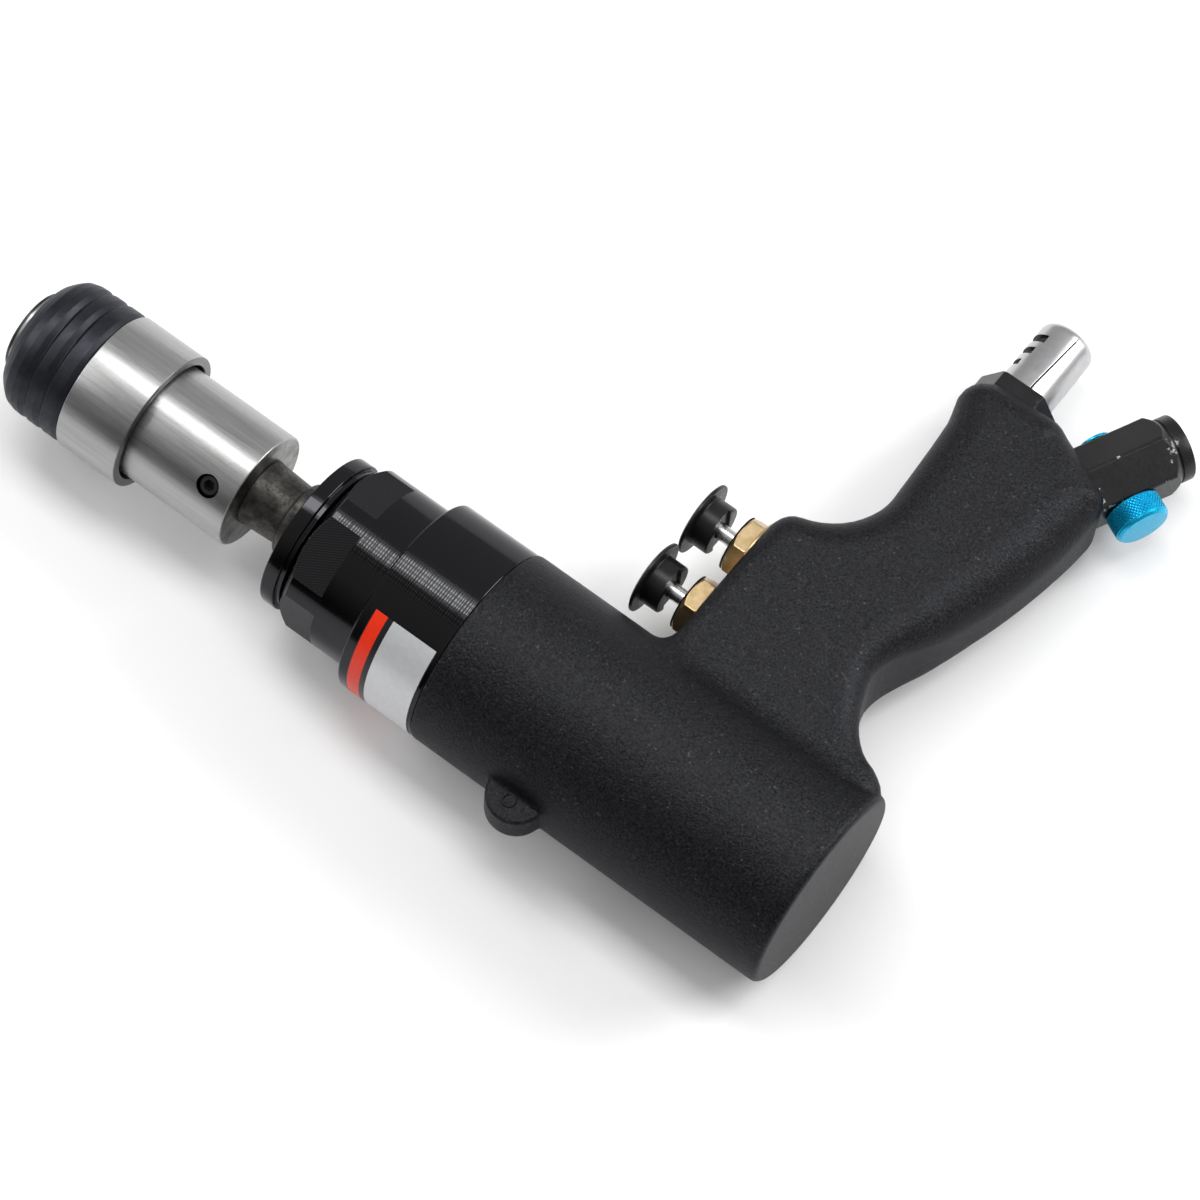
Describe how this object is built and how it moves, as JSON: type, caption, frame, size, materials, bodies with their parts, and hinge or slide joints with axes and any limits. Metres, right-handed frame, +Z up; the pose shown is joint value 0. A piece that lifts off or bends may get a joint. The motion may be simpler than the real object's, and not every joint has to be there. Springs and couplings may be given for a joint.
{
  "type": "pneumatic tapping tool",
  "caption": "Pistol-grip pneumatic tapping tool with forward and reverse push-button valves, planetary gear case, floating quick-change tap chuck, exhaust silencer and air regulator.",
  "frame": {"origin": "centre of the bounding box at the height of the table the tool lies on", "axes": "+X along the spindle towards the chuck, +Z up from the table, -Y towards the end of the grip; the tool lies on its left side, on the barrel and the edge of the grip base"},
  "size_m": [0.234, 0.1792, 0.05],
  "materials": {
    "housing_coat": "cast aluminium under a fine-textured matte black coat",
    "case_black": "turned aluminium, black anodised",
    "label_foil": "thin satin foil with a red band, blank",
    "rubber_black": "moulded rubber",
    "motor_iron": "ground",
    "gear_steel": "hobbed and hardened",
    "bright_steel": "ground bright",
    "vane_composite": "laminated",
    "spindle_steel": "turned, lightly heat-tinted",
    "black_oxide": "black oxide",
    "chuck_steel": "ground with fine lengthwise grain",
    "sleeve_black": "satin black",
    "spring_steel": "drawn wire",
    "gland_brass": "turned and polished",
    "button_plastic": "glossy moulded",
    "fitting_black": "black with worn edges",
    "silencer_alu": "polished",
    "wick_felt": "sintered felt",
    "knob_blue": "blue anodised, knurled rim"
  },
  "bodies": {
    "housing": {"motor_housing": "housing_coat", "gear_case": "case_black", "rating_label": "label_foil", "gear_case_o_ring": "rubber_black", "rear_end_plate": "motor_iron", "motor_cylinder": "motor_iron", "front_end_plate": "motor_iron", "cylinder_dowel_pins": "bright_steel", "rotor_bearing_outer_rings": "bright_steel", "rotor_bearing_balls": "bright_steel", "ring_gear": "gear_steel", "spindle_bearing_outer_rings": "bright_steel", "spindle_bearing_balls": "bright_steel", "bearing_spacer": "gear_steel", "bearing_circlip": "black_oxide", "spindle_seal": "rubber_black", "forward_valve_gland": "gland_brass", "reverse_valve_gland": "gland_brass", "valve_seats": "gland_brass", "valve_springs": "spring_steel", "exhaust_bushing": "fitting_black", "silencer_tube": "silencer_alu", "silencer_wick": "wick_felt", "inlet_bushing": "fitting_black", "inlet_screen": "bright_steel"},
    "rotor": {"rotor": "gear_steel", "rotor_vanes": "vane_composite", "rotor_pinion": "gear_steel", "rotor_bearing_inner_rings": "bright_steel"},
    "stage1_carrier": {"stage1_carrier": "gear_steel", "stage1_planet_pins": "bright_steel"},
    "stage1_planet_a": {"stage1_planet_a": "gear_steel"},
    "stage1_planet_b": {"stage1_planet_b": "gear_steel"},
    "stage1_planet_c": {"stage1_planet_c": "gear_steel"},
    "spindle": {"spindle": "spindle_steel", "spindle_collar": "spindle_steel", "stage2_planet_pins": "bright_steel", "spindle_bearing_inner_rings": "bright_steel", "chuck_body": "chuck_steel", "chuck_set_screw": "black_oxide", "float_drive_pin": "bright_steel", "float_spring": "spring_steel"},
    "stage2_planet_a": {"stage2_planet_a": "gear_steel"},
    "stage2_planet_b": {"stage2_planet_b": "gear_steel"},
    "stage2_planet_c": {"stage2_planet_c": "gear_steel"},
    "chuck_head": {"float_sleeve": "chuck_steel", "tap_socket": "chuck_steel", "socket_balls": "bright_steel", "socket_nose_ring": "black_oxide", "locking_spring": "spring_steel"},
    "locking_sleeve": {"locking_sleeve": "sleeve_black"},
    "forward_trigger": {"forward_button": "button_plastic", "forward_valve_stem": "bright_steel", "forward_valve_disc": "rubber_black"},
    "reverse_trigger": {"reverse_button": "button_plastic", "reverse_valve_stem": "bright_steel", "reverse_valve_disc": "rubber_black"},
    "regulator": {"regulator_spool": "gland_brass", "regulator_knob": "knob_blue", "regulator_cap": "knob_blue"}
  },
  "joints": [
    {"name": "spindle_spin", "type": "hinge", "parent": "housing", "child": "spindle", "pos_m": [0.04129, 0.0578, 0.025], "axis": [1, 0, 0], "continuous": true},
    {"name": "rotor_spin", "type": "hinge", "parent": "housing", "child": "rotor", "pos_m": [-0.07271, 0.0578, 0.025], "axis": [1, 0, 0], "continuous": true},
    {"name": "stage1_carrier_spin", "type": "hinge", "parent": "housing", "child": "stage1_carrier", "pos_m": [-0.02871, 0.0578, 0.025], "axis": [1, 0, 0], "continuous": true},
    {"name": "stage1_planet_a_spin", "type": "hinge", "parent": "stage1_carrier", "child": "stage1_planet_a", "pos_m": [-0.03611, 0.06797, 0.02582], "axis": [1, 0, 0], "continuous": true},
    {"name": "stage1_planet_b_spin", "type": "hinge", "parent": "stage1_carrier", "child": "stage1_planet_b", "pos_m": [-0.03611, 0.05201, 0.03339], "axis": [1, 0, 0], "continuous": true},
    {"name": "stage1_planet_c_spin", "type": "hinge", "parent": "stage1_carrier", "child": "stage1_planet_c", "pos_m": [-0.03611, 0.05343, 0.01578], "axis": [1, 0, 0], "continuous": true},
    {"name": "stage2_planet_a_spin", "type": "hinge", "parent": "spindle", "child": "stage2_planet_a", "pos_m": [-0.02121, 0.06797, 0.02582], "axis": [1, 0, 0], "continuous": true},
    {"name": "stage2_planet_b_spin", "type": "hinge", "parent": "spindle", "child": "stage2_planet_b", "pos_m": [-0.02121, 0.05201, 0.03339], "axis": [1, 0, 0], "continuous": true},
    {"name": "stage2_planet_c_spin", "type": "hinge", "parent": "spindle", "child": "stage2_planet_c", "pos_m": [-0.02121, 0.05343, 0.01578], "axis": [1, 0, 0], "continuous": true},
    {"name": "chuck_float", "type": "slide", "parent": "spindle", "child": "chuck_head", "axis": [1, 0, 0], "range_m": [-0.004, 0], "stiffness_N_per_m": 2500, "springref_m": 0.002, "deforming": ["float_spring"]},
    {"name": "locking_sleeve_slide", "type": "slide", "parent": "chuck_head", "child": "locking_sleeve", "axis": [1, 0, 0], "range_m": [0, 0.0035], "stiffness_N_per_m": 1500, "springref_m": -0.002, "deforming": ["locking_spring"]},
    {"name": "forward_press", "type": "slide", "parent": "housing", "child": "forward_trigger", "axis": [-1, 0, 0], "range_m": [0, 0.0035], "stiffness_N_per_m": 900, "springref_m": -0.002, "deforming": ["valve_springs"]},
    {"name": "reverse_press", "type": "slide", "parent": "housing", "child": "reverse_trigger", "axis": [-1, 0, 0], "range_m": [0, 0.0035], "stiffness_N_per_m": 900, "springref_m": -0.002, "deforming": ["valve_springs"]},
    {"name": "regulator_turn", "type": "hinge", "parent": "housing", "child": "regulator", "pos_m": [-0.10104, -0.06667, 0.01494], "axis": [0.8988, -0.4369, -0.0353], "range_deg": [0, 90]}
  ],
  "couplings": [
    {"joint": "rotor_spin", "follows": "spindle_spin", "ratio": 16},
    {"joint": "stage1_carrier_spin", "follows": "spindle_spin", "ratio": 4},
    {"joint": "stage1_planet_a_spin", "follows": "spindle_spin", "ratio": -12},
    {"joint": "stage1_planet_b_spin", "follows": "spindle_spin", "ratio": -12},
    {"joint": "stage1_planet_c_spin", "follows": "spindle_spin", "ratio": -12},
    {"joint": "stage2_planet_a_spin", "follows": "spindle_spin", "ratio": -3},
    {"joint": "stage2_planet_b_spin", "follows": "spindle_spin", "ratio": -3},
    {"joint": "stage2_planet_c_spin", "follows": "spindle_spin", "ratio": -3}
  ]
}
